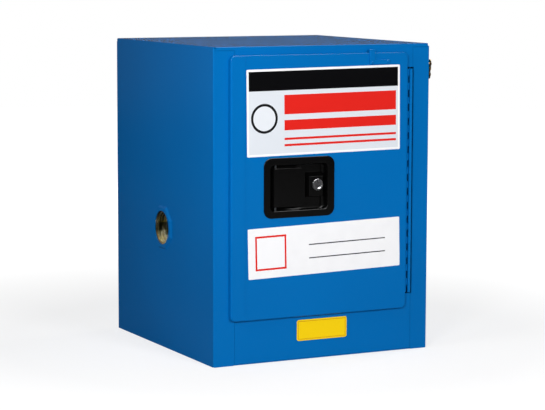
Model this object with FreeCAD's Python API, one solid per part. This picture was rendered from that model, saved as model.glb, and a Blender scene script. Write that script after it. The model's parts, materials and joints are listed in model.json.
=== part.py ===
"""Countertop safety cabinet, double-walled, with one door hinged on the right.

Everything is modelled from the left front bottom corner of the cabinet: x to the right, y into
the cabinet, z up, in millimetres. Each piece is moved on export so that the origin is the centre
of the base, with the front facing -Y.
"""
import FreeCAD
import Part
import math
import os

V = FreeCAD.Vector

# Cabinet box and sheet
width = 431.8
depth = 431.8
height = 558.8
sheet = 1.2
wall_gap = 38.1
bend = 2.0
tight_bend = 1.0
seam = 0.4
coil_steps = 8

# Front frame
right_stile = 34.6
hinge_post = 28.2
frame_depth = 36.0
rail_foot = 3.0
sill_hem = 12.0
top_lip = 6.1
foot_chamfer = 3.0
corner_cut = 5.5
corner_cut_width = 12.0
corner_backing = 1.7
relief_radius = 1.7
relief_inset = 3.6
relief_drop = 1.2
panel_flange = 16.0

# Sump and inner box
sump_depth = 51.2
wall_setback = 2.0
liner_wall = 3.0
liner_gap = 0.2
tray_gap = 0.6
tray_height = 44.0
tray_radius = 12.0
tray_edge = 5.0

# Door
lap_left = 11.8
lap_right = 13.5
lap_top = 26.7
lap_bottom = 12.7
door_proud = 8.0
door_gap = 0.8
door_corner = 9.0
pan_clearance = 3.5
pan_corner = 5.0
flange_gap = 0.2
strip_width = 25.0
strip_proud = 1.0
strip_edge = 0.6
door_liner_inset = 10.0

# Hinge
barrel_radius = 3.0
pin_radius = 1.2
pin_clearance = 0.05
leaf = 1.2
leaf_gap = 0.3
leaf_slot_gap = 0.1
knuckle = 12.7
knuckle_gap = 0.15
hinge_rise = 28.2
hinge_drop = 30.2
door_leaf_width = 19.4
frame_leaf_depth = 30.0
leaf_notch = 1.3
slot_end = 3.1
slot_left = 6.0
slot_right = 8.1
pin_head_radius = 2.2
pin_head = 0.8
spring_knuckle = 3
closer_wire = 0.7
closer_coil_radius = 1.7
closer_turns = 10
closer_bore = 2.25

# Hold-open catch on the door
catch_inset = 80.5
catch_bar = 11.0
catch_reach = 41.5
catch_leg = 8.5
catch_drop = 20.8
catch_rise = 27.5
catch_proud = 3.2
catch_edge = 1.0
rivet_radius = 2.8
rivet_rise = 1.5

# Fusible link on the right side
link_front = 9.0
link_width = 8.0
link_drop = 64.8
link_height = 35.0
link_lap = 6.0
link_screw_inset = 8.0
link_plate = 1.3
link_standoff = 4.4
link_head_radius = 4.8
link_head = 2.4
link_spacer_radius = 3.0
link_screw_depth = 4.0

# Handle
handle_inset = 63.1
handle_rise = 178.5
handle_width = 140.0
handle_height = 106.5
handle_corner = 15.0
handle_plate = 2.0
handle_sheet = 1.5
handle_edge = 1.5
rim_left = 13.0
rim_right = 14.0
rim_bottom = 12.5
rim_top = 13.0
pocket_depth = 16.0
pocket_corner = 7.0
pocket_edge = 5.0
cutout_gap = 1.0
stud_radius = 2.0
stud_inset = 6.5
stud_length = 7.0
stud_clearance = 0.3
nut_radius = 4.2
nut_height = 2.6

# Lock pad and lock
pad_before = 16.0
pad_after = 12.0
pad_below = 20.5
pad_above = 14.4
pad_slope = 8.5
pad_side_slope = 8.0
pad_draft = 2.0
pad_sink = 5.0
pad_edge = 1.8
pad_root = 3.5
lock_inset = 109.0
lock_rise = 55.3
bezel_radius = 10.5
bezel = 2.5
bezel_edge = 1.1
bezel_mouth = 1.2
lock_barrel_radius = 8.5
lock_length = 26.0
lock_hole_gap = 0.3
plug_radius = 6.0
plug_clearance = 0.05
plug_inset = 1.0
key_slot = 2.2
key_slot_length = 8.0
key_slot_depth = 6.0
lock_nut_radius = 11.5
lock_nut = 3.2
cam = 2.5
cam_width = 11.0
cam_reach = 26.0
cam_gap = 0.3
cam_hub = 2.5

# Paddle
paddle_inset = 19.0
finger_gap = 11.0
paddle_rise = 19.0
paddle_height = 68.5
paddle_face = 1.5
paddle_bend = 7.0
paddle_sheet = 2.0
paddle_chamfer = 8.2
paddle_edge = 1.5
paddle_ear = 11.5
paddle_ear_cut = 8.0
paddle_pin_radius = 2.0
paddle_pin_overhang = 1.6
arm_rise = 50.5
arm_thick = 4.0
arm_width = 4.0
arm_reach = 18.0
arm_room = 1.0
paddle_travel = 30.0
paddle_wire = 0.9
paddle_coil_radius = 3.4
paddle_coil_turns = 6
paddle_coil_pitch = 1.5
paddle_coil_rise = 10.0

# Latch bolt and guide
bolt_travel = 8.5
bolt_height = 16.0
bolt_thick = 5.0
bolt_stand = 0.8
bolt_gap = 0.2
bolt_inset = 0.6
bolt_bevel = 4.0
bolt_tail_inset = 57.0
bolt_rod_radius = 1.8
bolt_rod_length = 26.0
bolt_rod_clearance = 0.1
guide_sheet = 1.2
guide_inset = 5.0
guide_ear = 3.0
guide_length = 74.0
guide_margin = 2.0
bolt_wire = 0.7
bolt_coil_radius = 2.6
bolt_coil_turns = 8
strike_sheet = 1.5
strike_margin_y = 6.0
strike_margin_z = 12.0
strike_hole_gap = 1.0
strike_screw_radius = 1.8
strike_screw_head = 3.2
strike_screw_rise = 0.9
strike_screw_edge = 0.45

# Placards
placard_thick = 0.3
placard_corner = 2.0
upper_placard = (306.0, 152.0)
upper_placard_inset = 30.1
upper_placard_drop = 23.2
upper_placard_turn = 0.6
lower_placard = (305.0, 89.0)
lower_placard_inset = 33.1
lower_placard_rise = 76.1
lower_placard_turn = 1.2
rail_plate = (100.8, 37.7)
rail_plate_shift = 1.9
rail_plate_foot = 33.9
rail_plate_thick = 0.5
rail_plate_corner = 4.0

# Vents
vent_z = 221.5
vent_hole = 31.0
boss_flats = 79.0
boss_slope = 3.5
boss_rise = 3.5
socket_bore = 29.6
socket_wall = 4.0
socket_flange = 3.0
socket_hole_gap = 0.3
collar_radius = 41.0
collar = 5.0
socket_end = 1.5
arrester_thick = 3.0
arrester_inset = 6.0
arrester_seat = 1.0
arrester_seat_gap = 0.4
arrester_hole = 2.4
arrester_pitch = 7.2
arrester_rings = 3
fit_gap = 0.1

# Shelf and clips
shelf_z = 290.0
shelf_lip = 22.0
shelf_side_gap = 3.0
shelf_front_gap = 8.0
shelf_corner = 4.0
shelf_tray_height = 25.0
shelf_tray_inset = 1.5
clip_sheet = 1.5
clip_width = 16.0
clip_leg = 18.0
clip_tab = 14.0
clip_hook_gap = 0.4
clip_slot_gap = 0.5
clip_hook_drop = 6.0
clip_tongue_drop = 8.0
clip_front_inset = 44.0
clip_back_inset = 46.3
slot_pitch = 50.0
slot_levels = (-2, -1, 0, 1, 2)

# Places that follow from the sizes above
double_wall = 2 * sheet + wall_gap
inside_left = double_wall + sheet
inside_right = width - double_wall
inside_back = depth - double_wall
inside_top = height - double_wall
floor_top = double_wall
opening_left = inside_left
opening_right = width - right_stile - hinge_post
opening_top = inside_top - sheet
opening_bottom = floor_top + sump_depth
stile_top = height - top_lip
post_right = width - right_stile - seam

door_left = opening_left - lap_left
door_right = opening_right + lap_right
door_top = opening_top + lap_top
door_bottom = opening_bottom - lap_bottom
door_face = -door_proud
door_back = double_wall - door_proud
pan_left = opening_left + pan_clearance
pan_right = opening_right - pan_clearance
pan_bottom = opening_bottom + pan_clearance
pan_top = opening_top - pan_clearance
flange_front = -door_gap - sheet

hinge_x = inside_right + sheet + leaf - barrel_radius
hinge_y = flange_front - barrel_radius
hinge_bottom = door_bottom + hinge_rise
knuckle_pairs = round((door_top - hinge_drop - hinge_bottom) / (2 * knuckle))
hinge_top = hinge_bottom + 2 * knuckle_pairs * knuckle
spring_knuckles = (spring_knuckle, 2 * knuckle_pairs - spring_knuckle)

catch_left = door_right - catch_inset
catch_foot = door_top - catch_drop
link_foot = height - link_drop
clip_places = (frame_depth + clip_front_inset, inside_back - clip_back_inset)

handle_left = door_left + handle_inset
handle_foot = door_bottom + handle_rise
lock_x = handle_left + lock_inset
lock_z = handle_foot + lock_rise
arm_z = handle_foot + arm_rise
pad_left = lock_x - pad_before
pad_right = lock_x + pad_after
pad_foot = lock_z - pad_below
pad_head = lock_z + pad_above
paddle_left = handle_left + paddle_inset
paddle_right = pad_left - finger_gap
paddle_foot = handle_foot + paddle_rise
paddle_head = paddle_foot + paddle_height
bolt_tail = handle_left + bolt_tail_inset
guide_left = handle_left + guide_inset

pocket_left = handle_left + rim_left
pocket_right = handle_left + handle_width - rim_right
pocket_foot = handle_foot + rim_bottom
pocket_head = handle_foot + handle_height - rim_top
plate_face = door_face - handle_plate
pocket_floor = plate_face + pocket_depth
pocket_back = pocket_floor + handle_sheet
pad_face = door_face + pad_sink
pad_share = (pocket_floor - pad_face) / (pocket_back - pad_face)
pad_root_head = pad_head + pad_slope * pad_share
pad_root_left = pad_left - pad_side_slope * pad_share
paddle_front = plate_face + paddle_face
paddle_x = paddle_left + paddle_bend
paddle_y = paddle_front + paddle_bend
bolt_front = pocket_back + guide_sheet + bolt_stand
bolt_back = bolt_front + bolt_thick
bolt_z = arm_z
vent_y = depth / 2
socket_flange_radius = boss_flats / 2 - boss_slope - sheet

nodes = {}


def box(x0, y0, z0, x1, y1, z1):
    """Solid box between two corners."""
    return Part.makeBox(x1 - x0, y1 - y0, z1 - z0, V(x0, y0, z0))


def rod(start, direction, radius, length):
    """Solid cylinder from start along direction."""
    return Part.makeCylinder(radius, length, V(*start), V(*direction))


def edges_at(shape, **place):
    """Edges whose ends all lie at the stated coordinates, such as x=0, y=0."""
    found = []
    for edge in shape.Edges:
        bounds = edge.BoundBox
        spans = {"x": (bounds.XMin, bounds.XMax), "y": (bounds.YMin, bounds.YMax),
                 "z": (bounds.ZMin, bounds.ZMax)}
        if all(abs(end - value) < 0.01 for axis, value in place.items() for end in spans[axis]):
            found.append(edge)
    return found


def soften(shape, radius, **place):
    """Round the edges at the stated coordinates."""
    return shape.makeFillet(radius, edges_at(shape, **place))


def along(axis, low, high):
    """The four edges of a box that run along one axis, as places for edges_at."""
    others = [other for other in (0, 1, 2) if other != axis]
    names = "xyz"
    return [{names[others[0]]: a, names[others[1]]: b}
            for a in (low[others[0]], high[others[0]]) for b in (low[others[1]], high[others[1]])]


def rounded_box(low, high, axis, corner, closed=None, edge=0.0):
    """Box with the edges along one axis rounded, and those of one closed face too."""
    shape = box(*low, *high)
    if corner > 0.05:
        picked = [item for place in along(axis, low, high) for item in edges_at(shape, **place)]
        shape = shape.makeFillet(corner, picked)
    if closed is not None and edge > 0.05:
        shape = soften(shape, edge, **{"xyz"[axis]: closed})
    return shape


def pan(low, high, wall, axis, opens, corner, edge):
    """Sheet pan: a box with rounded edges, open on the side that opens names, -1 or +1."""
    closed = high[axis] if opens < 0 else low[axis]
    outer = rounded_box(low, high, axis, corner, closed, edge)
    inner_low = [value + wall for value in low]
    inner_high = [value - wall for value in high]
    if opens < 0:
        inner_low[axis] = low[axis] - 1.0
    else:
        inner_high[axis] = high[axis] + 1.0
    inner_closed = inner_high[axis] if opens < 0 else inner_low[axis]
    inner = rounded_box(inner_low, inner_high, axis, max(corner - wall, 0.0), inner_closed,
                        max(edge - wall, 0.0))
    return outer.cut(inner)


def coil(start, axis, radius, wire, pitch, turns):
    """Helical spring: one unbroken wire, swept along a helix on the axis from start."""
    points = []
    for step in range(coil_steps * turns + 1):
        turn = 2 * math.pi * step / coil_steps
        points.append(V(radius * math.cos(turn), radius * math.sin(turn), pitch * step / coil_steps))
    helix = Part.BSplineCurve()
    helix.interpolate(points)
    section = Part.Wire(Part.makeCircle(wire / 2, points[0], helix.tangent(helix.FirstParameter)[0]))
    shape = Part.Wire(helix.toShape()).makePipeShell([section], True, True)
    turn = FreeCAD.Rotation(V(0, 0, 1), V(*axis))
    shape.Placement = FreeCAD.Placement(V(*start), turn)
    return shape


def merged(shapes):
    """One solid of touching or overlapping shapes, with no leftover seams."""
    shape = shapes[0].fuse(shapes[1:]) if len(shapes) > 1 else shapes[0]
    return shape.removeSplitter()


def wedge(points, axis, start, length):
    """Prism of a polygon: its points are on the two axes other than the one it runs along."""
    corners = []
    for a, b in points:
        corner = [a, b]
        corner.insert(axis, start)
        corners.append(V(*corner))
    face = Part.Face(Part.makePolygon(corners + corners[:1]))
    run = [0.0, 0.0, 0.0]
    run[axis] = length
    return face.extrude(V(*run))


def polygon(sides, a, b, radius, first_turn):
    """Corners of a regular polygon round (a, b), the first at first_turn in radians."""
    turns = [first_turn + step * 2 * math.pi / sides for step in range(sides)]
    return [(a + radius * math.cos(turn), b + radius * math.sin(turn)) for turn in turns]


def hexagon(a, b, radius):
    """Corners of a nut whose flats face left and right."""
    return polygon(6, a, b, radius, math.pi / 6)


def octagon_wire(flats, x):
    """Closed octagon round the vent axis at one x, with upright and level flats."""
    reach = flats / 2 / math.cos(math.pi / 8)
    corners = [V(x, y, z) for y, z in polygon(8, vent_y, vent_z, reach, math.pi / 8)]
    return Part.makePolygon(corners + corners[:1])


def mirrored(shape):
    """The same shape on the other side of the cabinet."""
    return shape.mirror(V(width / 2, 0, 0), V(1, 0, 0))


def clip_slot(x0, x1, y, level):
    """Cut for one shelf clip through the wall between x0 and x1."""
    top = shelf_z - shelf_lip - clip_tongue_drop + clip_slot_gap + level * slot_pitch
    foot = top - clip_hook_drop - clip_sheet - 2 * clip_slot_gap
    half = clip_width / 2 + clip_slot_gap
    return box(x0, y - half, foot, x1, y + half, top)


def clip_slots(x0, x1):
    """All the clip slots of one side wall."""
    return [clip_slot(x0, x1, y, level) for y in clip_places for level in slot_levels]


def bolt_window(x0, x1, gap):
    """Cut that lets the latch bolt through a wall between x0 and x1."""
    half = bolt_height / 2 + gap
    return box(x0, bolt_front - gap, bolt_z - half, x1, bolt_back + gap, bolt_z + half)


# Outer casing


def vent_boss():
    """Raised octagon pressed outwards round the left vent hole, one sheet thick."""
    base = octagon_wire(boss_flats, 0.0)
    face = octagon_wire(boss_flats - 2 * boss_slope, -boss_rise)
    inner_base = octagon_wire(boss_flats - 2 * sheet, sheet)
    inner_face = octagon_wire(boss_flats - 2 * boss_slope - sheet, sheet - boss_rise)
    raised = Part.makeLoft([base, face], True, True)
    hollow = Part.makeLoft([inner_base, inner_face], True, True)
    return raised, hollow


def side_panel(front_flange, returned):
    """Left side panel: wall and front flange from one sheet, with the raised vent octagon."""
    wall = box(0, 0, 0, sheet, depth, stile_top)
    stile = box(0, 0, 0, front_flange, sheet, stile_top)
    panel = merged([wall, stile])
    panel = soften(panel, bend, x=0, y=0)
    panel = soften(panel, tight_bend, x=sheet, y=sheet)
    if returned:
        reach = box(front_flange - sheet, 0, floor_top + sheet, front_flange, frame_depth, inside_top)
        panel = merged([panel, reach])
    raised, hollow = vent_boss()
    panel = panel.fuse(raised).cut(hollow)
    panel = panel.cut(rod((-boss_rise - 1, vent_y, vent_z), (1, 0, 0), vent_hole, boss_rise + 3))
    top_gap = box(bend, -1, stile_top - seam, front_flange + 1, sheet + 1, stile_top + 1)
    foot = [(front_flange - foot_chamfer, -1), (front_flange + 1, -1), (front_flange + 1, foot_chamfer + 1)]
    outer_foot = [(-1, -1), (foot_chamfer, -1), (-1, foot_chamfer)]
    panel = panel.cut([top_gap, wedge(foot, 1, -1, sheet + 2), wedge(outer_foot, 1, -1, bend + 2)])
    return panel


def hinge_slot():
    """Slot through the hinge post and the right stile where the hinge barrel lies."""
    return box(hinge_x - slot_left, -1, hinge_bottom - slot_end,
               hinge_x + slot_right, sheet + 1, hinge_top + slot_end)


def make_side_panels():
    left = side_panel(double_wall, True)
    slots = bolt_window(double_wall - sheet - 1, double_wall + 1, strike_hole_gap)
    nodes["left_side_panel"] = left.cut(slots)
    nodes["right_side_panel"] = mirrored(side_panel(right_stile, False)).cut(hinge_slot())


def make_top_panel():
    """Shallow pan with its lip down, a relief hole at the left and a cut corner at the right."""
    low = [0, 0, stile_top]
    high = [width, depth, height]
    top = pan(low, high, sheet, 2, -1, bend, bend)
    backing = [(width - corner_cut_width - corner_backing, height), (width, height), (width, stile_top),
               (width - sheet, stile_top)]
    filled = wedge(backing, 1, 0, corner_cut + sheet).common(rounded_box(low, high, 2, bend, height, bend))
    relief = rod((relief_inset, -1, height - relief_drop), (0, 1, 0), relief_radius, bend + 1)
    rise = corner_cut / corner_cut_width
    cut = [(width - corner_cut_width - 1, height + rise), (width + 1, height + rise),
           (width + 1, height - corner_cut - rise)]
    cuts = [relief, wedge(cut, 1, -1, corner_cut + 1)]
    nodes["top_panel"] = top.fuse(filled).removeSplitter().cut(cuts)


def make_bottom_panel():
    nodes["bottom_panel"] = pan([sheet, sheet, 0], [width - sheet, depth - sheet, panel_flange], sheet,
                                2, 1, tight_bend, tight_bend)


def make_back_panel():
    """Back sheet with two flanges turned forward along the side panels."""
    face = box(sheet, depth - sheet, 0, width - sheet, depth, stile_top)
    left = box(sheet, depth - panel_flange, panel_flange + 1, 2 * sheet, depth, stile_top)
    right = box(width - 2 * sheet, depth - panel_flange, panel_flange + 1, width - sheet, depth, stile_top)
    nodes["back_panel"] = merged([face, left, right])


def make_front_frame():
    """Two rails and the hinge post, each a face flange with a flange turned back."""
    rail_left = double_wall + seam
    top_face = box(rail_left, 0, opening_top, post_right, sheet, stile_top)
    top_return = box(inside_left, 0, opening_top, inside_right, frame_depth, inside_top)
    nodes["top_rail"] = merged([top_face, top_return])

    sill_face = box(rail_left, 0, rail_foot, post_right, sheet, opening_bottom)
    sill_top = box(inside_left, 0, opening_bottom - sheet, inside_right, frame_depth, opening_bottom)
    sill_back = box(inside_left, frame_depth - sheet, opening_bottom - sill_hem, inside_right,
                    frame_depth, opening_bottom)
    nodes["sill_rail"] = merged([sill_face, sill_top, sill_back])

    post_face = box(opening_right, 0, opening_bottom, post_right, sheet, opening_top)
    post_return = box(opening_right, 0, opening_bottom, opening_right + sheet, frame_depth, opening_top)
    post_back = box(opening_right, frame_depth - sheet, opening_bottom, inside_right, frame_depth,
                    opening_top)
    nodes["hinge_post"] = merged([post_face, post_return, post_back]).cut(hinge_slot())


# Inner box, sump and liners


def vent_cut(x0, x1, radius):
    """Round hole for a vent socket through a wall between x0 and x1."""
    return rod((x0, vent_y, vent_z), (1, 0, 0), radius, x1 - x0)


def make_inner_walls():
    foot = floor_top - sheet
    hole = socket_bore + socket_wall + socket_hole_gap
    left = box(double_wall, wall_setback, foot, inside_left, inside_back, inside_top)
    cuts = clip_slots(double_wall - 1, inside_left + 1)
    cuts.append(vent_cut(double_wall - 1, inside_left + 1, hole))
    cuts.append(bolt_window(double_wall - 1, inside_left + 1, strike_hole_gap))
    nodes["inner_left_wall"] = left.cut(cuts)

    right = box(inside_right, wall_setback, foot, inside_right + sheet, inside_back, inside_top)
    cuts = clip_slots(inside_right - 1, inside_right + sheet + 1)
    cuts.append(vent_cut(inside_right - 1, inside_right + sheet + 1, hole))
    nodes["inner_right_wall"] = right.cut(cuts)

    nodes["inner_back_wall"] = box(double_wall, inside_back, foot, inside_right + sheet,
                                   inside_back + sheet, inside_top)
    nodes["inner_top_wall"] = box(double_wall, wall_setback, inside_top, inside_right + sheet,
                                  inside_back + sheet, inside_top + sheet)


def make_sump():
    low = [inside_left, frame_depth, floor_top - sheet]
    high = [inside_right, inside_back, opening_bottom]
    nodes["sump_pan"] = pan(low, high, sheet, 2, 1, bend, bend)
    inset = sheet + tray_gap
    tray_low = [low[0] + inset, low[1] + inset, floor_top]
    tray_high = [high[0] - inset, high[1] - inset, floor_top + tray_height]
    nodes["sump_tray"] = pan(tray_low, tray_high, liner_wall, 2, 1, tray_radius, tray_edge)


def make_liners():
    foot = opening_bottom + liner_gap
    top = inside_top - liner_wall
    front = frame_depth + liner_gap
    back = inside_back - liner_wall
    hole = socket_bore + socket_wall + socket_hole_gap
    left = box(inside_left, front, foot, inside_left + liner_wall, back, top)
    cuts = clip_slots(inside_left - 1, inside_left + liner_wall + 1)
    cuts.append(vent_cut(inside_left - 1, inside_left + liner_wall + 1, hole))
    nodes["left_liner"] = left.cut(cuts)

    right = box(inside_right - liner_wall, front, foot, inside_right, back, top)
    cuts = clip_slots(inside_right - liner_wall - 1, inside_right + 1)
    cuts.append(vent_cut(inside_right - liner_wall - 1, inside_right + 1, hole))
    nodes["right_liner"] = right.cut(cuts)

    nodes["back_liner"] = box(inside_left, back, foot, inside_right, inside_back, top)
    nodes["top_liner"] = box(inside_left, front, top, inside_right, inside_back, inside_top)


# Vents


def left_vent_pieces():
    """Socket, collar and arrester of the left vent."""
    start = sheet - boss_rise
    end = inside_left + liner_wall + collar + socket_end
    outer = socket_bore + socket_wall
    tube = rod((start, vent_y, vent_z), (1, 0, 0), outer, end - start)
    flange = rod((start, vent_y, vent_z), (1, 0, 0), socket_flange_radius, socket_flange)
    hollow = rod((start - 1, vent_y, vent_z), (1, 0, 0), socket_bore, end - start + 2)
    collar_start = inside_left + liner_wall
    ring = rod((collar_start, vent_y, vent_z), (1, 0, 0), collar_radius, collar)
    ring_hole = vent_cut(collar_start - 1, collar_start + collar + 1, outer + fit_gap)
    seat_start = end - arrester_inset
    seat_radius = socket_bore + arrester_seat
    seat = rod((seat_start, vent_y, vent_z), (1, 0, 0), seat_radius, arrester_inset + 1)
    plate_start = seat_start + arrester_seat_gap
    plate = rod((plate_start, vent_y, vent_z), (1, 0, 0), seat_radius - fit_gap, arrester_thick)
    holes = [rod((plate_start - 1, vent_y, vent_z), (1, 0, 0), arrester_hole, arrester_thick + 2)]
    for ring_number in range(1, arrester_rings + 1):
        count = 6 * ring_number
        for step in range(count):
            turn = 2 * math.pi * step / count
            y = vent_y + ring_number * arrester_pitch * math.cos(turn)
            z = vent_z + ring_number * arrester_pitch * math.sin(turn)
            holes.append(rod((plate_start - 1, y, z), (1, 0, 0), arrester_hole, arrester_thick + 2))
    return {"vent_socket": merged([tube, flange]).cut([hollow, seat]), "vent_collar": ring.cut(ring_hole),
            "flame_arrester": plate.cut(holes)}


def make_vents():
    for name, shape in left_vent_pieces().items():
        nodes["left_" + name] = shape
        nodes["right_" + name] = mirrored(shape)


# Shelf


def shelf_clip(y):
    """One clip on the left wall: leg, tab under the shelf, tongue and hook behind the wall."""
    wall_face = inside_left + liner_wall
    top = shelf_z - shelf_lip
    half = clip_width / 2
    leg = box(wall_face, y - half, top - clip_leg, wall_face + clip_sheet, y + half, top)
    tab = box(wall_face, y - half, top - clip_sheet, wall_face + clip_tab, y + half, top)
    hook_face = double_wall - clip_hook_gap
    tongue_top = top - clip_tongue_drop
    tongue = box(hook_face - clip_sheet, y - half, tongue_top - clip_sheet, wall_face, y + half, tongue_top)
    hook = box(hook_face - clip_sheet, y - half, tongue_top - clip_sheet - clip_hook_drop, hook_face,
               y + half, tongue_top)
    return merged([leg, tab, tongue, hook])


def make_shelf():
    left = [shelf_clip(y) for y in clip_places]
    shift = inside_right + inside_left
    right = [clip.mirror(V(shift / 2, 0, 0), V(1, 0, 0)) for clip in left]
    nodes["shelf_clips"] = Part.makeCompound(left + right)

    low = [inside_left + liner_wall + shelf_side_gap, frame_depth + shelf_front_gap, shelf_z - shelf_lip]
    high = [inside_right - liner_wall - shelf_side_gap, inside_back - liner_wall - shelf_front_gap, shelf_z]
    nodes["shelf"] = pan(low, high, sheet, 2, -1, shelf_corner, bend)
    tray_low = [low[0] + shelf_tray_inset, low[1] + shelf_tray_inset, shelf_z]
    tray_high = [high[0] - shelf_tray_inset, high[1] - shelf_tray_inset, shelf_z + shelf_tray_height]
    nodes["shelf_tray"] = pan(tray_low, tray_high, liner_wall, 2, 1, tray_radius, tray_edge)


# Door


def handle_hole():
    """Cut in the door skin for the pocket of the handle."""
    reach = handle_sheet + cutout_gap
    return rounded_box([pocket_left - reach, door_face - 1, pocket_foot - reach],
                       [pocket_right + reach, door_face + sheet + 1, pocket_head + reach],
                       1, pocket_corner + reach)


def stud_places():
    """The four studs of the handle plate, as (x, z)."""
    right = handle_left + handle_width - stud_inset
    top = handle_foot + handle_height - stud_inset
    return [(x, z) for x in (handle_left + stud_inset, right) for z in (handle_foot + stud_inset, top)]


def make_door_skin():
    skin = pan([door_left, door_face, door_bottom], [door_right, -door_gap, door_top], sheet, 1, 1,
               door_corner, bend)
    leaf_slot = box(door_right - 2 * sheet, flange_front - leaf - leaf_slot_gap, hinge_bottom - seam,
                    door_right + 1, 0, hinge_top + seam)
    cuts = [leaf_slot, handle_hole()]
    for x, z in stud_places():
        cuts.append(rod((x, door_face - 1, z), (0, 1, 0), stud_radius + stud_clearance, sheet + 2))
    nodes["door_skin"] = skin.cut(cuts)

    strip = rounded_box([door_left + bend, door_face - strip_proud, door_bottom + bend],
                        [door_left + bend + strip_width, door_face, door_top - bend],
                        1, tight_bend, door_face - strip_proud, strip_edge)
    trim = rounded_box([door_left + bend, door_face - 2, door_bottom + bend],
                       [door_right, door_face + 1, door_top - bend], 1, door_corner - bend)
    nodes["door_edge_strip"] = strip.common(trim)


def make_door_pan():
    """Inner half of the door: a deep pan with a flange that closes the skin behind."""
    low = [pan_left, flange_front, pan_bottom]
    high = [pan_right, door_back, pan_top]
    deep = pan(low, high, sheet, 1, -1, pan_corner, pan_corner)
    gap = sheet + flange_gap
    flange = rounded_box([door_left + gap, flange_front, door_bottom + gap],
                         [door_right - gap, -door_gap, door_top - gap], 1, door_corner - gap)
    mouth = rounded_box([low[0] + sheet, flange_front - 1, low[2] + sheet],
                        [high[0] - sheet, 1, high[2] - sheet], 1, pan_corner - sheet)
    whole = merged([deep, flange.cut(mouth)])
    nodes["door_inner_pan"] = whole.cut(bolt_window(pan_left - 1, pan_left + sheet + 1, bolt_gap))
    inset = door_liner_inset
    nodes["door_liner"] = rounded_box([pan_left + inset, door_back, pan_bottom + inset],
                                      [pan_right - inset, door_back + liner_wall, pan_top - inset],
                                      1, tray_radius, door_back + liner_wall, tight_bend)


# Hinge


def knuckle_span(number):
    """Foot and head of one knuckle."""
    foot = hinge_bottom + number * knuckle
    return foot + knuckle_gap / 2, foot + knuckle - knuckle_gap / 2


def barrel_piece(number):
    """One knuckle, bored for the pin, or wider where a closing spring lies in it."""
    foot, head = knuckle_span(number)
    bore = closer_bore if number in spring_knuckles else pin_radius + pin_clearance
    outer = rod((hinge_x, hinge_y, foot), (0, 0, 1), barrel_radius, head - foot)
    return outer, rod((hinge_x, hinge_y, foot - 1), (0, 0, 1), bore, head - foot + 2)


def make_hinge():
    """Both leaves with their knuckles: even ones belong to the frame, odd ones to the door."""
    count = 2 * knuckle_pairs
    back = flange_front
    plate_right = hinge_x - barrel_radius - leaf_gap
    door_leaf = box(plate_right - door_leaf_width, back - leaf, hinge_bottom, plate_right, back, hinge_top)
    side = hinge_x + barrel_radius
    plate_front = hinge_y + barrel_radius + leaf_gap
    frame_leaf = box(side - leaf, plate_front, hinge_bottom, side, plate_front + frame_leaf_depth, hinge_top)
    door_parts = []
    frame_parts = []
    notches = []
    door_bores = []
    frame_bores = []
    for number in range(count):
        outer, bore = barrel_piece(number)
        foot, head = knuckle_span(number)
        if number % 2:
            tab = box(plate_right - 1, back - leaf, foot, hinge_x, back, head)
            door_parts += [outer, tab]
            door_bores.append(bore)
        else:
            tab = box(side - leaf, hinge_y, foot, side, plate_front + 1, head)
            frame_parts += [outer, tab]
            frame_bores.append(bore)
            notches.append(box(plate_right - leaf_notch, back - leaf - 1, foot - knuckle_gap,
                               plate_right + 1, back + 1, head + knuckle_gap))
    door_whole = merged([door_leaf.cut(notches)] + door_parts).cut(door_bores)
    nodes["hinge_door_leaf"] = door_whole
    nodes["hinge_frame_leaf"] = merged([frame_leaf] + frame_parts).cut(frame_bores)

    shaft = rod((hinge_x, hinge_y, hinge_bottom - pin_head), (0, 0, 1), pin_radius,
                hinge_top - hinge_bottom + 2 * pin_head)
    heads = [rod((hinge_x, hinge_y, z), (0, 0, 1), pin_head_radius, pin_head)
             for z in (hinge_bottom - pin_head, hinge_top)]
    nodes["hinge_pin"] = merged([shaft] + heads)
    springs = []
    for number in spring_knuckles:
        foot, head = knuckle_span(number)
        pitch = (head - foot - closer_wire - 4 * knuckle_gap) / closer_turns
        start = (hinge_x, hinge_y, foot + closer_wire / 2 + 2 * knuckle_gap)
        springs.append(coil(start, (0, 0, 1), closer_coil_radius, closer_wire, pitch, closer_turns))
    nodes["closing_springs"] = Part.makeCompound(springs)


# Hold-open catch and fusible link


def make_catch():
    face = door_face - catch_proud
    bar = rounded_box([catch_left, face, catch_foot], [catch_left + catch_bar, door_face,
                      catch_foot + catch_rise], 1, tight_bend)
    leg = rounded_box([catch_left, face, catch_foot], [catch_left + catch_reach, door_face,
                      catch_foot + catch_leg], 1, tight_bend)
    plate = merged([bar, leg])
    nodes["hold_open_catch"] = soften(plate, catch_edge, y=face)
    rivets = []
    height_mid = catch_foot + catch_leg / 2
    for x in (catch_left + catch_bar / 2, catch_left + catch_reach - catch_leg / 2):
        ball = (rivet_radius ** 2 + rivet_rise ** 2) / (2 * rivet_rise)
        dome = Part.makeSphere(ball, V(x, face - rivet_rise + ball, height_mid))
        rivets.append(dome.common(box(x - ball, face - rivet_rise - 1, height_mid - ball,
                                      x + ball, face, height_mid + ball)))
    nodes["catch_rivets"] = Part.makeCompound(rivets)


def link_strip(x, foot, head):
    """Flat strip with round ends, upright beside the right side panel."""
    half = link_width / 2
    body = box(x, link_front - half, foot + half, x + link_plate, link_front + half, head - half)
    ends = [rod((x, link_front, z), (1, 0, 0), half, link_plate) for z in (foot + half, head - half)]
    return merged([body] + ends)


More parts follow.
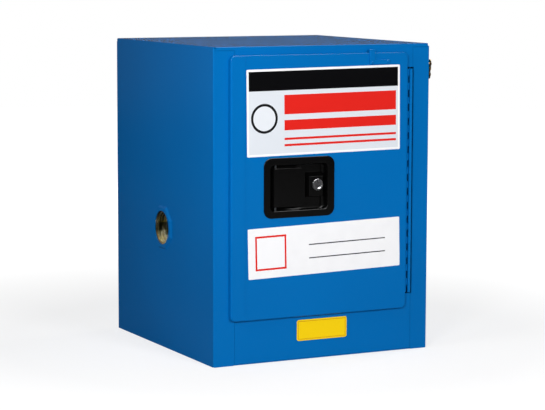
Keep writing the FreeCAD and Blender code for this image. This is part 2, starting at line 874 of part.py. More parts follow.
def make_link():
    """Two overlapping strips, soldered together, on two screws with spacers."""
    head = link_foot + link_height
    inner_x = width + link_standoff
    outer_x = inner_x + link_plate
    middle = link_foot + link_height / 2
    screws = [link_foot + link_screw_inset, head - link_screw_inset]
    reach = outer_x + link_plate - width + 2
    holes = [rod((width - 1, link_front, z), (1, 0, 0), stud_radius + fit_gap, reach) for z in screws]
    nodes["fusible_link_anchor"] = link_strip(inner_x, link_foot, middle + link_lap / 2).cut(holes)
    nodes["fusible_link_hook"] = link_strip(outer_x, middle - link_lap / 2, head).cut(holes)
    parts = []
    spacers = []
    for z, seat in zip(screws, (inner_x + link_plate, outer_x + link_plate)):
        shank = rod((width - link_screw_depth, link_front, z), (1, 0, 0), stud_radius,
                    seat - width + link_screw_depth)
        ball = (link_head_radius ** 2 + link_head ** 2) / (2 * link_head)
        dome = Part.makeSphere(ball, V(seat + link_head - ball, link_front, z))
        dome = dome.common(box(seat, link_front - ball, z - ball, seat + ball, link_front + ball, z + ball))
        parts.append(merged([shank, dome]))
        top = inner_x if seat < outer_x + link_plate else outer_x
        sleeve = rod((width, link_front, z), (1, 0, 0), link_spacer_radius, top - width)
        spacers.append(sleeve.cut(holes))
    nodes["link_screws"] = Part.makeCompound(parts)
    nodes["link_spacers"] = Part.makeCompound(spacers)
    panel_holes = [rod((width - sheet - 1, link_front, z), (1, 0, 0), stud_radius + fit_gap, sheet + 2)
                   for z in screws]
    nodes["right_side_panel"] = nodes["right_side_panel"].cut(panel_holes)


# Handle, paddle and lock


def frustum(base, face):
    """Solid between two upright rectangles, each given as y, left, foot, right and head."""
    rings = []
    for y, left, foot, right, head in (base, face):
        corners = [V(left, y, foot), V(right, y, foot), V(right, y, head), V(left, y, head)]
        rings.append(Part.makePolygon(corners + corners[:1]))
    return Part.makeLoft(rings, True, True)


def lock_pad():
    """Raised pad for the lock, as its outer shape and the hollow behind it."""
    wall = handle_sheet
    solid = frustum((pocket_back, pad_left - pad_side_slope, pad_foot - pad_draft, pad_right + pad_draft,
                     pad_head + pad_slope),
                    (pad_face, pad_left, pad_foot, pad_right, pad_head))
    solid = solid.makeFillet(pad_edge, edges_at(solid, y=pad_face))
    hollow = frustum((pocket_back + 1, pad_left - pad_side_slope + wall, pad_foot - pad_draft + wall,
                      pad_right + pad_draft - wall, pad_head + pad_slope - wall),
                     (pad_face + wall, pad_left + wall / 2, pad_foot + wall, pad_right - wall,
                      pad_head - wall / 2))
    return solid, hollow


def arm_slot(y0, y1):
    """Cut that the paddle's arm swings in."""
    reach = (arm_reach + arm_width) * math.sin(math.radians(paddle_travel))
    half = arm_thick / 2 + arm_room
    return box(paddle_x - arm_width / 2 - arm_room, y0, arm_z - half,
               paddle_x + reach + arm_room, y1, arm_z + half)


def make_handle_pan():
    plate = rounded_box([handle_left, plate_face, handle_foot],
                        [handle_left + handle_width, door_face, handle_foot + handle_height],
                        1, handle_corner, plate_face, handle_edge)
    wall = handle_sheet
    low = [pocket_left - wall, door_face - 0.5, pocket_foot - wall]
    high = [pocket_right + wall, pocket_back, pocket_head + wall]
    outer = rounded_box(low, high, 1, pocket_corner + wall, pocket_back, pocket_edge + wall)
    inner = rounded_box([pocket_left, plate_face - 1, pocket_foot],
                        [pocket_right, pocket_floor, pocket_head], 1, pocket_corner, pocket_floor,
                        pocket_edge)
    solid, hollow = lock_pad()
    body = merged([plate, outer]).cut(inner)
    body = soften(body, handle_edge, y=plate_face)
    body = body.fuse(solid).cut(hollow).removeSplitter()
    roots = edges_at(body, y=pocket_floor, z=pad_root_head) + edges_at(body, y=pocket_floor, x=pad_root_left)
    body = body.makeFillet(pad_root, roots)
    studs = [rod((x, door_face - 0.5, z), (0, 1, 0), stud_radius, stud_length) for x, z in stud_places()]
    body = merged([body] + studs)
    lock_hole = rod((lock_x, pad_face - 1, lock_z), (0, 1, 0), lock_barrel_radius + lock_hole_gap,
                    handle_sheet + 2)
    pin_hole = rod((paddle_x, paddle_y, pocket_foot - wall - 1), (0, 0, 1),
                   paddle_pin_radius + pin_clearance, pocket_head - pocket_foot + 2 * wall + 2)
    nodes["handle_pan"] = body.cut([lock_hole, pin_hole, arm_slot(pocket_floor - 1, pocket_back + 1)])
    nuts = []
    for x, z in stud_places():
        nut = wedge(hexagon(x, z, nut_radius), 1, door_face + sheet, nut_height)
        nuts.append(nut.cut(rod((x, door_face, z), (0, 1, 0), stud_radius + pin_clearance,
                            sheet + nut_height + 1)))
    nodes["handle_nuts"] = Part.makeCompound(nuts)


def make_lock():
    bezel_face = pad_face - bezel
    barrel = rod((lock_x, pad_face, lock_z), (0, 1, 0), lock_barrel_radius, lock_length)
    ring = rod((lock_x, bezel_face, lock_z), (0, 1, 0), bezel_radius, bezel)
    ring = soften(ring, bezel_edge, y=bezel_face)
    bore_radius = plug_radius + plug_clearance
    bore = rod((lock_x, bezel_face - 1, lock_z), (0, 1, 0), bore_radius, lock_length + bezel + 2)
    mouth = Part.makeCone(bore_radius + bezel_mouth, bore_radius, bezel_mouth,
                          V(lock_x, bezel_face, lock_z), V(0, 1, 0))
    nodes["lock_body"] = merged([barrel, ring]).cut([bore, mouth])

    seat = pad_face + handle_sheet
    nut = wedge(hexagon(lock_x, lock_z, lock_nut_radius), 1, seat, lock_nut)
    nodes["lock_nut"] = nut.cut(rod((lock_x, seat - 1, lock_z), (0, 1, 0),
                                    lock_barrel_radius + pin_clearance, lock_nut + 2))

    end = pad_face + lock_length
    plug = rod((lock_x, bezel_face + plug_inset, lock_z), (0, 1, 0), plug_radius,
               end + cam_gap + cam - bezel_face - plug_inset)
    slot = box(lock_x - key_slot / 2, bezel_face - 1, lock_z - key_slot_length / 2,
               lock_x + key_slot / 2, bezel_face + plug_inset + key_slot_depth, lock_z + key_slot_length / 2)
    nodes["lock_plug"] = plug.cut(slot)
    cam_face = end + cam_gap
    half = cam_width / 2
    blade = box(lock_x - half, cam_face, lock_z, lock_x + half, cam_face + cam, lock_z + cam_reach - half)
    ends = [rod((lock_x, cam_face, z), (0, 1, 0), half if z > lock_z else plug_radius + cam_hub, cam)
            for z in (lock_z, lock_z + cam_reach - half)]
    hole = rod((lock_x, cam_face - 1, lock_z), (0, 1, 0), plug_radius + pin_clearance, cam + 2)
    nodes["lock_cam"] = merged([blade] + ends).cut(hole)


def make_paddle():
    """Face plate rounded over the pin at its left, with an ear above and below and the bolt arm."""
    foot = paddle_foot
    head = paddle_head
    outer = rod((paddle_x, paddle_y, foot), (0, 0, 1), paddle_bend, head - foot)
    face = box(paddle_x, paddle_front, foot, paddle_right, paddle_front + paddle_sheet, head)
    tube_hollow = rod((paddle_x, paddle_y, foot - 1), (0, 0, 1), paddle_bend - paddle_sheet, head - foot + 2)
    open_back = box(paddle_x, paddle_y - paddle_bend + paddle_sheet, foot - 1, paddle_right,
                    paddle_y + paddle_bend + 1, head + 1)
    shell = merged([outer.cut([tube_hollow, open_back]), face])
    ears = []
    for z in (foot, head - paddle_sheet):
        ear = box(paddle_x, paddle_front, z, paddle_right - paddle_ear_cut, paddle_front + paddle_ear,
                  z + paddle_sheet)
        round_end = rod((paddle_x, paddle_y, z), (0, 0, 1), paddle_bend, paddle_sheet)
        ears += [ear, round_end]
    arm = box(paddle_x - arm_width / 2, paddle_y, arm_z - arm_thick / 2,
              paddle_x + arm_width / 2, paddle_y + arm_reach, arm_z + arm_thick / 2)
    boss = rod((paddle_x, paddle_y, arm_z - arm_thick / 2), (0, 0, 1), paddle_bend - paddle_sheet / 2,
               arm_thick)
    whole = merged([shell] + ears + [arm, boss])
    for end, out in ((head, 1), (foot, -1)):
        chamfer = [(paddle_right - paddle_chamfer, end + out), (paddle_right + 1, end + out),
                   (paddle_right + 1, end - out * paddle_chamfer), (paddle_right, end - out * paddle_chamfer),
                   (paddle_right - paddle_chamfer, end)]
        whole = whole.cut(wedge(chamfer, 1, paddle_front - 1, paddle_ear + paddle_bend))
    whole = soften(whole, paddle_edge, y=paddle_front, z=head)
    whole = soften(whole, paddle_edge, y=paddle_front, z=foot)
    whole = soften(whole, paddle_edge, y=paddle_front, x=paddle_right)
    bore = rod((paddle_x, paddle_y, foot - 1), (0, 0, 1), paddle_pin_radius + pin_clearance, head - foot + 2)
    nodes["paddle"] = whole.cut(bore)

    pin_foot = pocket_foot - handle_sheet - paddle_pin_overhang
    pin_head_z = pocket_head + handle_sheet + paddle_pin_overhang
    nodes["paddle_pin"] = rod((paddle_x, paddle_y, pin_foot), (0, 0, 1), paddle_pin_radius,
                              pin_head_z - pin_foot)
    nodes["paddle_spring"] = coil((paddle_x, paddle_y, arm_z + paddle_coil_rise), (0, 0, 1),
                                  paddle_coil_radius, paddle_wire, paddle_coil_pitch, paddle_coil_turns)


def make_latch():
    """Bolt with a bevelled nose, a window for the arm and a tail rod, in its guide."""
    half = bolt_height / 2
    nose = pan_left + bolt_inset
    bar = box(nose, bolt_front, bolt_z - half, bolt_tail, bolt_back, bolt_z + half)
    bevel = [(nose - 1, bolt_back + 1), (nose + bolt_bevel, bolt_back + 1),
             (nose - 1, bolt_back - bolt_bevel)]
    bar = bar.cut(wedge(bevel, 2, bolt_z - half - 1, bolt_height + 2))
    middle = (bolt_front + bolt_back) / 2
    tail = rod((bolt_tail - 1, middle, bolt_z), (1, 0, 0), bolt_rod_radius, bolt_rod_length + 1)
    window = arm_slot(bolt_front - 1, bolt_back + 1)
    window = window.fuse(window.translated(V(bolt_travel, 0, 0)))
    nodes["latch_bolt"] = merged([bar, tail]).cut(window)

    right = guide_left + guide_length
    low = bolt_z - half - guide_margin
    high = bolt_z + half + guide_margin
    base = box(guide_left, pocket_back, low, right, pocket_back + guide_sheet, high)
    ear_back = bolt_back + guide_margin + 1
    left_ear = box(guide_left, pocket_back, low, guide_left + guide_ear, ear_back, high)
    right_ear = box(right - guide_ear, pocket_back, low, right, ear_back, high)
    rod_hole = rod((right - guide_ear - 1, middle, bolt_z), (1, 0, 0), bolt_rod_radius + bolt_rod_clearance,
                   guide_ear + 2)
    guide = merged([base, left_ear, right_ear])
    cuts = [bolt_window(guide_left - 1, guide_left + guide_ear + 1, bolt_gap), rod_hole,
            arm_slot(pocket_back - 1, pocket_back + guide_sheet + 1)]
    nodes["bolt_guide"] = guide.cut(cuts)
    room = right - guide_ear - bolt_tail - bolt_wire - 2 * fit_gap
    nodes["bolt_spring"] = coil((bolt_tail + bolt_wire / 2 + fit_gap, middle, bolt_z), (1, 0, 0),
                                bolt_coil_radius, bolt_wire, room / bolt_coil_turns, bolt_coil_turns)


def make_strike():
    """Strike plate on the latch side of the opening, with two screws."""
    half = bolt_height / 2
    low = bolt_z - half - strike_margin_z
    high = bolt_z + half + strike_margin_z
    front = bolt_front - strike_margin_y
    back = bolt_back + strike_margin_y
    face = inside_left + strike_sheet
    plate = rounded_box([inside_left, front, low], [face, back, high], 0, bend)
    middle = (front + back) / 2
    places = [low + strike_margin_z / 2, high - strike_margin_z / 2]
    start = double_wall - sheet - 1
    holes = [rod((start, middle, z), (1, 0, 0), strike_screw_radius + fit_gap, face - start + 1)
             for z in places]
    window = bolt_window(inside_left - 1, face + 1, strike_hole_gap)
    nodes["strike_plate"] = plate.cut(holes + [window])
    screws = []
    for z in places:
        shank = rod((double_wall - sheet - 2, middle, z), (1, 0, 0), strike_screw_radius,
                    face - double_wall + sheet + 2)
        head = rod((face, middle, z), (1, 0, 0), strike_screw_head, strike_screw_rise)
        screws.append(merged([shank, soften(head, strike_screw_edge, x=face + strike_screw_rise)]))
    nodes["strike_screws"] = Part.makeCompound(screws)
    for name in ("left_side_panel", "inner_left_wall"):
        nodes[name] = nodes[name].cut(holes)


def make_placards():
    """Two films on the door and a plate on the sill rail."""
    upper_foot = door_top - upper_placard_drop - upper_placard[1]
    lower_foot = door_bottom + lower_placard_rise
    for name, x, z, size, turn in (
            ("upper_placard", door_left + upper_placard_inset, upper_foot, upper_placard,
             upper_placard_turn),
            ("lower_placard", door_left + lower_placard_inset, lower_foot, lower_placard,
             lower_placard_turn)):
        film = rounded_box([x, door_face - placard_thick, z], [x + size[0], door_face, z + size[1]],
                           1, placard_corner)
        film.rotate(V(x + size[0] / 2, 0, z + size[1] / 2), V(0, -1, 0), turn)
        nodes[name] = film
    x = (width - rail_plate[0]) / 2 - rail_plate_shift
    nodes["rail_plate"] = rounded_box([x, -rail_plate_thick, rail_plate_foot],
                                      [x + rail_plate[0], 0, rail_plate_foot + rail_plate[1]],
                                      1, rail_plate_corner)


def export():
    """Write each node, moved so that the origin is the centre of the base."""
    os.makedirs("parts", exist_ok=True)
    for name, shape in nodes.items():
        moved = shape.translated(V(-width / 2, -depth / 2, 0))
        moved.exportStep("parts/" + name + ".step")
        print(name, len(moved.Solids), round(moved.Volume, 1), moved.isValid())


make_side_panels()
make_top_panel()
make_bottom_panel()
make_back_panel()
make_front_frame()
make_inner_walls()
make_sump()
make_liners()
make_vents()
make_shelf()
make_door_skin()
make_door_pan()
make_hinge()
make_catch()
make_link()
make_handle_pan()
make_lock()
make_paddle()
make_latch()
make_strike()
make_placards()
export()
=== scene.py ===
import json
import math

import bpy
import numpy as np
from mathutils import Matrix, Vector


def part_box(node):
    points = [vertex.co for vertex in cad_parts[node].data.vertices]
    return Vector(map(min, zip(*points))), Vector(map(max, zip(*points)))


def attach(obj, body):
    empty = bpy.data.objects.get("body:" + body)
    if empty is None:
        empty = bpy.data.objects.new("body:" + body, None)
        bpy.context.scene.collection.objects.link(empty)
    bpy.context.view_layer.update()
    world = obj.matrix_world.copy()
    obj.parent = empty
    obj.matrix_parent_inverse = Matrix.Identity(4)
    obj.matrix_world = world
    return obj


# Countertop safety cabinet. Metres, +Z up, the door faces -Y, the origin is the centre of the base.

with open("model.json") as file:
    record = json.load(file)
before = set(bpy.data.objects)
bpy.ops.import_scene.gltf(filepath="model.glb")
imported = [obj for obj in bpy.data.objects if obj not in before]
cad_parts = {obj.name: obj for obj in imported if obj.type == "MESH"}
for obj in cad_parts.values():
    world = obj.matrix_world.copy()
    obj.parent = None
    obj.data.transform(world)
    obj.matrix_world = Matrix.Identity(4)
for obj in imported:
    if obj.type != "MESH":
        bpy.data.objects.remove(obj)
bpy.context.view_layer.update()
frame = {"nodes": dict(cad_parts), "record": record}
nodes = frame["nodes"]


# Shader helpers


def linear(code, level=1.0):
    """RGBA of an sRGB hex colour, as linear light: the sRGB curve undone, times level."""
    parts = np.array([int(code[i:i + 2], 16) for i in (1, 3, 5)]) / 255
    light = np.where(parts <= 0.04045, parts / 12.92, ((parts + 0.055) / 1.055) ** 2.4) * level
    return (*light.tolist(), 1.0)


def add(tree, kind, inputs=None, **settings):
    """A node with its settings; an input that is a socket gets linked, and any other is set as a value."""
    made = tree.nodes.new(kind)
    for name, value in settings.items():
        setattr(made, name, value)
    for name, value in (inputs or {}).items():
        if isinstance(value, bpy.types.NodeSocket):
            tree.links.new(value, made.inputs[name])
        else:
            made.inputs[name].default_value = value
    return made


def finish_of(name, **values):
    """A material with one Principled surface, and its node tree and surface node."""
    material = bpy.data.materials.new(name)
    material.use_nodes = True
    tree = material.node_tree
    tree.nodes.clear()
    surface = add(tree, "ShaderNodeBsdfPrincipled", values)
    add(tree, "ShaderNodeOutputMaterial", {"Surface": surface.outputs["BSDF"]})
    return material, tree, surface


def place(tree):
    """The point on the object, in metres."""
    return add(tree, "ShaderNodeTexCoord").outputs["Object"]


def grain(tree, millimetres, detail=2.0, at=None, stretch=None):
    """Noise whose lumps are so many millimetres across; stretch scales the three axes."""
    where = at or place(tree)
    if stretch:
        where = add(tree, "ShaderNodeMapping", {"Vector": where, "Scale": stretch}).outputs["Vector"]
    return add(tree, "ShaderNodeTexNoise", {"Vector": where, "Scale": 1000 / millimetres,
                                            "Detail": detail, "Roughness": 0.5}).outputs["Fac"]


def ramp(tree, factor, low, high, low_value, high_value):
    """Factor from low to high becomes low_value to high_value, held at both ends."""
    return add(tree, "ShaderNodeMapRange", {0: factor, 1: low, 2: high, 3: low_value,
                                            4: high_value}).outputs[0]


def blended(tree, factor, first, second):
    """A colour between two others."""
    mix = add(tree, "ShaderNodeMix", data_type="RGBA")
    for index, value in ((0, factor), (6, first), (7, second)):
        if isinstance(value, bpy.types.NodeSocket):
            tree.links.new(value, mix.inputs[index])
        else:
            mix.inputs[index].default_value = value
    return mix.outputs[2]


def raised(tree, surface, height, micrometres):
    """Bump the surface: height from 0 to 1 stands for so many micrometres."""
    bump = add(tree, "ShaderNodeBump", {"Height": height, "Distance": micrometres * 1e-6, "Strength": 1.0})
    tree.links.new(bump.outputs["Normal"], surface.inputs["Normal"])


# Finishes


def powder_coat(name, code, shade, roughness, gloss):
    """Paint baked on steel: an even gloss with orange peel 1.6 mm across, a shade deeper in wide patches."""
    material, tree, surface = finish_of(name, **{"Roughness": roughness, "IOR": 1.5,
                                                 "Specular IOR Level": gloss})
    patches = ramp(tree, grain(tree, 160.0, 0.0), 0.3, 0.7, 0.0, 1.0)
    colour = blended(tree, patches, linear(code), linear(shade))
    tree.links.new(colour, surface.inputs["Base Color"])
    peel = grain(tree, 1.6, 0.0)
    raised(tree, surface, peel, 3.5)
    haze = ramp(tree, grain(tree, 60.0, 0.0), 0.3, 0.7, roughness - 0.006, roughness + 0.006)
    tree.links.new(haze, surface.inputs["Roughness"])
    return material


def plated(name, code, second, patch_mm, roughness, scratch_um):
    """Plated or rolled metal: two tints in soft patches, with fine upright scratches 0.4 mm apart."""
    material, tree, surface = finish_of(name, Metallic=1.0)
    patches = ramp(tree, grain(tree, patch_mm, 3.0), 0.38, 0.62, 0.0, 1.0)
    tree.links.new(blended(tree, patches, linear(code), linear(second)), surface.inputs["Base Color"])
    scratches = grain(tree, 0.4, 2.0, stretch=(1.0, 1.0, 0.08))
    haze = ramp(tree, scratches, 0.3, 0.7, roughness * 0.8, roughness * 1.25)
    tree.links.new(haze, surface.inputs["Roughness"])
    raised(tree, surface, scratches, scratch_um)
    return material


def chromate(name):
    """Chromate on zinc, rings 4 mm wide: olive, straw and brown film tints; dark olive partly painted shade,
    cream a painted highlight.
    """
    material, tree, surface = finish_of(name, Metallic=1.0, Roughness=0.2)
    drift = grain(tree, 4.0, 1.0, stretch=(1.0, 0.1, 0.1))
    ring = add(tree, "ShaderNodeValToRGB", {"Fac": drift})
    stops = ring.color_ramp.elements
    # Dark olive is a film tint and partly painted shade; the near-white cream #F0EEDC is a painted highlight
    # in the bore.
    stops[0].position, stops[0].color = 0.34, linear("#4E5230")
    stops[1].position, stops[1].color = 0.68, linear("#6E5A34")
    for position, code in ((0.42, "#A8A468"), (0.50, "#F0EEDC"), (0.58, "#CFC596")):
        stops.new(position).color = linear(code)
    tree.links.new(ring.outputs["Color"], surface.inputs["Base Color"])
    raised(tree, surface, grain(tree, 0.6, 2.0), 4.0)
    return material


def moulded_sheet(name, code, shade):
    """Moulded polyethylene: waxy, slightly wavy over 60 mm, with a fine skin 0.8 mm across."""
    material, tree, surface = finish_of(name, **{"Roughness": 0.42, "IOR": 1.5, "Subsurface Weight": 0.12,
                                                 "Subsurface Scale": 0.004})
    patches = ramp(tree, grain(tree, 90.0, 2.0), 0.35, 0.65, 0.0, 1.0)
    tree.links.new(blended(tree, patches, linear(code), linear(shade)), surface.inputs["Base Color"])
    skin = add(tree, "ShaderNodeMath", {0: grain(tree, 0.8, 2.0), 1: 0.03}, operation="MULTIPLY").outputs[0]
    waves = add(tree, "ShaderNodeMath", {0: grain(tree, 60.0, 1.0), 1: skin}, operation="ADD").outputs[0]
    raised(tree, surface, waves, 120.0)
    return material


def inside(tree, where, box):
    """1 inside a rectangle of the front, given as left, right, bottom and top in millimetres; else 0."""
    left, right, bottom, top = (value / 1000 for value in box)
    middle = ((left + right) / 2, 0.0, (bottom + top) / 2)
    offset = add(tree, "ShaderNodeVectorMath", {0: where, 1: middle}, operation="SUBTRACT").outputs[0]
    reach = add(tree, "ShaderNodeVectorMath", {0: offset}, operation="ABSOLUTE").outputs[0]
    split = add(tree, "ShaderNodeSeparateXYZ", {0: reach})
    within = [add(tree, "ShaderNodeMath", {0: split.outputs[axis], 1: size},
                  operation="LESS_THAN").outputs[0]
              for axis, size in (("X", (right - left) / 2), ("Z", (top - bottom) / 2))]
    return add(tree, "ShaderNodeMath", {0: within[0], 1: within[1]}, operation="MULTIPLY").outputs[0]


def disc(tree, where, circle):
    """1 inside a circle of the front, given as across, up and radius in millimetres; else 0."""
    across, up, radius = (value / 1000 for value in circle)
    middle = (across, 0.0, up)
    offset = add(tree, "ShaderNodeVectorMath", {0: where, 1: middle}, operation="SUBTRACT").outputs[0]
    flat = add(tree, "ShaderNodeVectorMath", {0: offset, 1: (1.0, 0.0, 1.0)},
               operation="MULTIPLY").outputs[0]
    reach = add(tree, "ShaderNodeVectorMath", {0: flat}, operation="LENGTH").outputs["Value"]
    return add(tree, "ShaderNodeMath", {0: reach, 1: radius}, operation="LESS_THAN").outputs[0]


def printed_film(name, ground, areas, sheet, turn):
    """Vinyl film with printed rectangles and circles, each over the ones before, turned with the sheet."""
    material, tree, surface = finish_of(name, **{"Roughness": 0.34, "IOR": 1.5, "Specular IOR Level": 0.12})
    middle = ((sheet[0] + sheet[1]) / 2000, 0.0, (sheet[2] + sheet[3]) / 2000)
    where = add(tree, "ShaderNodeVectorRotate", {"Vector": place(tree), "Center": middle,
                                                 "Axis": (0.0, 1.0, 0.0), "Angle": math.radians(turn)},
                rotation_type="AXIS_ANGLE").outputs["Vector"]
    mottle = ramp(tree, grain(tree, 25.0, 2.0), 0.3, 0.7, 0.0, 1.0)
    colour = blended(tree, mottle, linear(ground), linear(ground, 0.97))
    for area, code in areas:
        mask = disc(tree, where, area) if len(area) == 3 else inside(tree, where, area)
        colour = blended(tree, mask, colour, linear(code))
    tree.links.new(colour, surface.inputs["Base Color"])
    raised(tree, surface, grain(tree, 2.5, 1.0), 6.0)
    return material


red_ink = "#E0261F"
white_vinyl = "#F8F8FA"
yellow_vinyl = "#FBD311"


def framed(left, right, bottom, top, line, colour, ground):
    """A thin printed frame: one rectangle of colour with a smaller one of the ground over it."""
    return [((left, right, bottom, top), colour),
            ((left + line, right - line, bottom + line, top - line), ground)]


def sheet_of(node, wide, tall):
    """Left, right, bottom and top of a placard before its turn, in millimetres, from its node's middle."""
    low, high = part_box(node)
    across, up = (low.x + high.x) * 500, (low.z + high.z) * 500
    return across - wide / 2, across + wide / 2, up - tall / 2, up + tall / 2


def upper_print(left, right, bottom, top):
    """Grey field under a black band, with a dark ring at its left and four red bars at its right."""
    margin, band = 4, 34
    band_foot = top - margin - band
    ring_across, ring_up = left + 34, bottom + 66
    areas = [((left + margin, right - margin, bottom + margin, band_foot), "#DDE2E9"),
             ((left + margin, right - margin, band_foot, top - margin), "#0A0A0C"),
             ((ring_across, ring_up, 26.0), "#1A1A1C"),
             ((ring_across, ring_up, 21.5), "#E4E8EE")]
    for foot, head in ((72, 106), (44, 62), (27, 31), (16, 20)):
        areas.append(((left + 73, right - 8, bottom + foot, bottom + head), red_ink))
    return areas


def lower_print(left, right, bottom, top):
    """A thin red square at the left and two dark lines 2 mm thick at the right."""
    inset = 14
    areas = framed(left + inset, left + 75, bottom + inset, top - inset, 3.4, red_ink, white_vinyl)
    for foot in (52, 28):
        areas.append(((left + 120, right - 30, bottom + foot, bottom + foot + 2), "#303238"))
    return areas


def rail_print(left, right, bottom, top):
    """A thin amber frame near the edge of the plate."""
    inset = 2.5
    return framed(left + inset, right - inset, bottom + inset, top - inset, 0.9, "#C98A1E", yellow_vinyl)


upper = sheet_of("upper_placard", 306.0, 152.0)
lower = sheet_of("lower_placard", 305.0, 89.0)
rail = sheet_of("rail_plate", 100.8, 37.7)

blue_paint = powder_coat("blue_powder_coat", "#006BB5", "#0069B2", 0.22, 0.2)
black_paint = powder_coat("black_gloss_enamel", "#050506", "#070707", 0.16, 0.5)
chrome = plated("satin_chrome_plate", "#E6E6E8", "#DCDCE0", 6.0, 0.24, 0.3)
zinc = plated("bright_zinc_plate", "#B4BAC0", "#A2A8AE", 9.0, 0.34, 1.5)
brass = plated("dull_brass", "#D8BC8A", "#C09C64", 8.0, 0.45, 1.5)
chromate_tints_and_painted_light = chromate("yellow_chromate_zinc_and_painted_light")
liner = moulded_sheet("polyethylene_sheet", "#DEE1DE", "#D9DCDA")
upper_film = printed_film("upper_placard_vinyl", white_vinyl, upper_print(*upper), upper, 0.6)
lower_film = printed_film("lower_placard_vinyl", white_vinyl, lower_print(*lower), lower, 1.2)
rail_film = printed_film("rail_plate_vinyl", yellow_vinyl, rail_print(*rail), rail, 0.0)

finishes = {"blue_paint": blue_paint, "black_enamel": black_paint, "chrome": chrome, "zinc_steel": zinc,
            "yellow_chromate": chromate_tints_and_painted_light, "link_brass": brass, "liner_plastic": liner,
            "white_film": lower_film, "yellow_film": rail_film}
for part in frame["record"]["subparts"]:
    for slot in nodes[part["node"]].material_slots:
        slot.material = finishes[part["material_slot"]]
nodes["upper_placard"].material_slots[0].material = upper_film


# Pieces of the scene


def surface_piece(name, points, closed_u, closed_v, material, body):
    """A mesh over a grid of points, rows by columns, joined round where it is closed."""
    rows, columns = points.shape[:2]
    u = np.arange(rows if closed_u else rows - 1)[:, None]
    v = np.arange(columns if closed_v else columns - 1)[None, :]
    u_next, v_next = (u + 1) % rows, (v + 1) % columns
    quads = np.stack([u * columns + v, u_next * columns + v, u_next * columns + v_next,
                      u * columns + v_next], axis=-1).reshape(-1, 4)
    mesh = bpy.data.meshes.new(name)
    mesh.from_pydata(points.reshape(-1, 3), [], quads)
    mesh.polygons.foreach_set("use_smooth", np.ones(len(quads), bool))
    mesh.materials.append(material)
    piece = bpy.data.objects.new(name, mesh)
    bpy.context.scene.collection.objects.link(piece)
    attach(piece, body)
    return piece


def pipe_thread(name, side):
    """Screw thread in a vent: radius = bore - depth x (a triangle wave of along / pitch - turn / full turn).

    For each angle the closed section goes in along the thread and comes back just inside the socket's wall.
    """
    low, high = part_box("left_vent_socket" if side < 0 else "right_vent_socket")
    axis_y, axis_z = (low.y + high.y) / 2, (low.z + high.z) / 2
    mouth = low.x if side < 0 else high.x
    bore, depth, pitch, start, length = 0.0296, 0.0014, 0.00221, 0.0012, 0.021
    run_out, lap, sunk = 0.002, 0.0001, 0.0004
    turns = np.linspace(0, 2 * math.pi, 96, endpoint=False)[:, None]
    along = np.linspace(0, length, 160)[None, :]
    wave = 1 - np.abs(((along / pitch - turns / (2 * math.pi)) % 1) * 2 - 1)
    ends = np.clip(np.minimum(along, length - along) / run_out, 0, 1)
    radius = bore + lap - (depth + lap) * wave * ends
    back = np.full_like(radius, bore + sunk)
    ring = np.concatenate([radius, back[:, ::-1]], axis=1)
    depths = np.concatenate([along, along[:, ::-1]], axis=1) + 0 * ring
    x = mouth - side * (start + depths)
    points = np.stack([x, axis_y + ring * np.cos(turns), axis_z + ring * np.sin(turns)], axis=-1)
    if side > 0:
        points = points[::-1]
    return surface_piece(name, points, True, True, chromate_tints_and_painted_light, "cabinet")


pipe_thread("left_vent_thread", -1)
pipe_thread("right_vent_thread", 1)


# Floor, light and camera


def stage_floor():
    """Round floor 12 m across that shows white to the camera and keeps the cabinet's shadow; in reflections
    it is a painted darker grey.
    """
    reach, sides, drop = 6.0, 64, 0.0002
    mesh = bpy.data.meshes.new("studio_floor")
    turns = np.linspace(0, 2 * math.pi, sides, endpoint=False)
    rim = np.stack([reach * np.cos(turns), reach * np.sin(turns), np.full(sides, -drop)], axis=-1)
    mesh.from_pydata(rim, [], [list(range(sides))])
    floor = bpy.data.objects.new("studio_floor", mesh)
    bpy.context.scene.collection.objects.link(floor)
    material, tree, surface = finish_of("grey_floor_darker_in_reflections", Roughness=0.9, **{"Specular IOR Level": 0.0,
                                        "Emission Color": (1, 1, 1, 1)})
    path = add(tree, "ShaderNodeLightPath")
    # Gloss sees the floor painted a darker grey, #606060, than lamps light it, #A4A4A4: painted shade in its
    # reflections.
    shade = blended(tree, path.outputs["Is Glossy Ray"], linear("#A4A4A4"), linear("#606060"))
    tree.links.new(shade, surface.inputs["Base Color"])
    distance = add(tree, "ShaderNodeVectorMath", {0: place(tree)}, operation="LENGTH").outputs["Value"]
    level = ramp(tree, distance, 0.5, 1.4, 0.7, 1.0)
    glow = add(tree, "ShaderNodeMath", {0: path.outputs["Is Camera Ray"], 1: level}, operation="MULTIPLY")
    tree.links.new(glow.outputs[0], surface.inputs["Emission Strength"])
    mesh.materials.append(material)


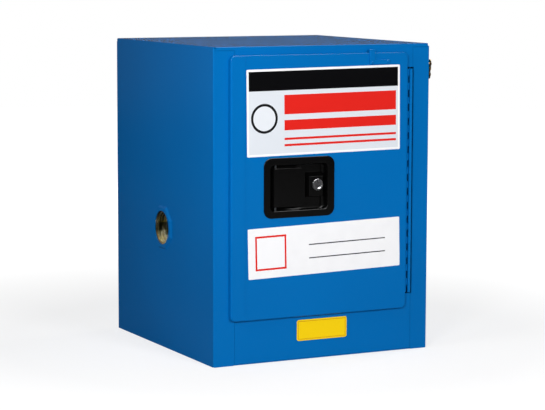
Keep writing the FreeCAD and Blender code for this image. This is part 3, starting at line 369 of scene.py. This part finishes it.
def studio_world():
    """White for the camera; gloss sees a bright ceiling over grey walls; as light it is weak and even."""
    world = bpy.data.worlds.new("studio")
    bpy.context.scene.world = world
    world.use_nodes = True
    tree = world.node_tree
    tree.nodes.clear()
    path = add(tree, "ShaderNodeLightPath")
    seen = add(tree, "ShaderNodeMath", {0: path.outputs["Is Camera Ray"],
                                        1: path.outputs["Is Transmission Ray"]}, operation="MAXIMUM")
    rise = add(tree, "ShaderNodeSeparateXYZ", {0: add(tree, "ShaderNodeTexCoord").outputs["Generated"]})
    behind = add(tree, "ShaderNodeMath", {0: rise.outputs["X"], 1: rise.outputs["Y"]}, operation="ADD")
    walls = ramp(tree, behind.outputs[0], 0.6, 1.3, 0.1, 0.15)
    ceiling = ramp(tree, rise.outputs["Z"], 0.8, 0.9, 0.0, 9.0)
    room = add(tree, "ShaderNodeMath", {0: walls, 1: ceiling}, operation="ADD").outputs[0]
    level = add(tree, "ShaderNodeMix", {0: path.outputs["Is Glossy Ray"], 2: 0.1, 3: room}).outputs[0]
    level = add(tree, "ShaderNodeMix", {0: seen.outputs[0], 2: level, 3: 1.0}).outputs[0]
    glow = add(tree, "ShaderNodeBackground", {"Color": (1, 1, 1, 1), "Strength": level})
    add(tree, "ShaderNodeOutputWorld", {"Surface": glow.outputs["Background"]})


def softbox(name, spot, target, size, watts, spread=180, mirrored=True):
    """Square area lamp aimed at target, its beam held to so many degrees, and mirrored in gloss or not."""
    lamp = bpy.data.lights.new(name, "AREA")
    lamp.size = size
    lamp.spread = math.radians(spread)
    lamp.energy = watts
    lamp_object = bpy.data.objects.new(name, lamp)
    aim = (Vector(target) - Vector(spot)).to_track_quat("-Z", "Y")
    lamp_object.matrix_world = Matrix.Translation(spot) @ aim.to_matrix().to_4x4()
    lamp_object.visible_glossy = mirrored
    bpy.context.scene.collection.objects.link(lamp_object)


stage_floor()
studio_world()
softbox("left_softbox", (-1.6, -2.0, 0.95), (0.0, -0.2, 0.28), 0.5, 27, mirrored=False)
softbox("front_softbox", (0.3, -2.9, 1.15), (0.0, -0.2, 0.28), 0.6, 41.5, mirrored=False)
softbox("side_softbox", (-1.15, -0.42, 0.85), (-0.216, -0.35, 0.45), 0.5, 1.7, 100)
softbox("right_fill", (2.5, 0.6, 0.9), (0.2, 0.0, 0.25), 0.8, 18, mirrored=False)
softbox("back_fill", (0.1, 2.8, 0.9), (0.0, 0.2, 0.25), 0.8, 18, mirrored=False)

# The camera's place and its right, down and forward directions come from a fit to the photo's corners.
camera = bpy.data.objects.new("camera", bpy.data.cameras.new("camera"))
camera.data.lens = 132.94
camera.data.sensor_width = 36
camera.data.clip_end = 60
stand = (-1.6833, -3.3434, 0.7084)
right, down, forward = (Vector(row) for row in ((0.892511, -0.451016, 0.002959),
                                                (-0.052029, -0.109471, -0.992627),
                                                (0.448015, 0.885777, -0.121170)))
turn = Matrix((right, -down, -forward)).transposed()
camera.matrix_world = Matrix.Translation(stand) @ turn.to_4x4()
bpy.context.scene.collection.objects.link(camera)
bpy.context.scene.camera = camera
bpy.context.scene.view_settings.view_transform = "Standard"
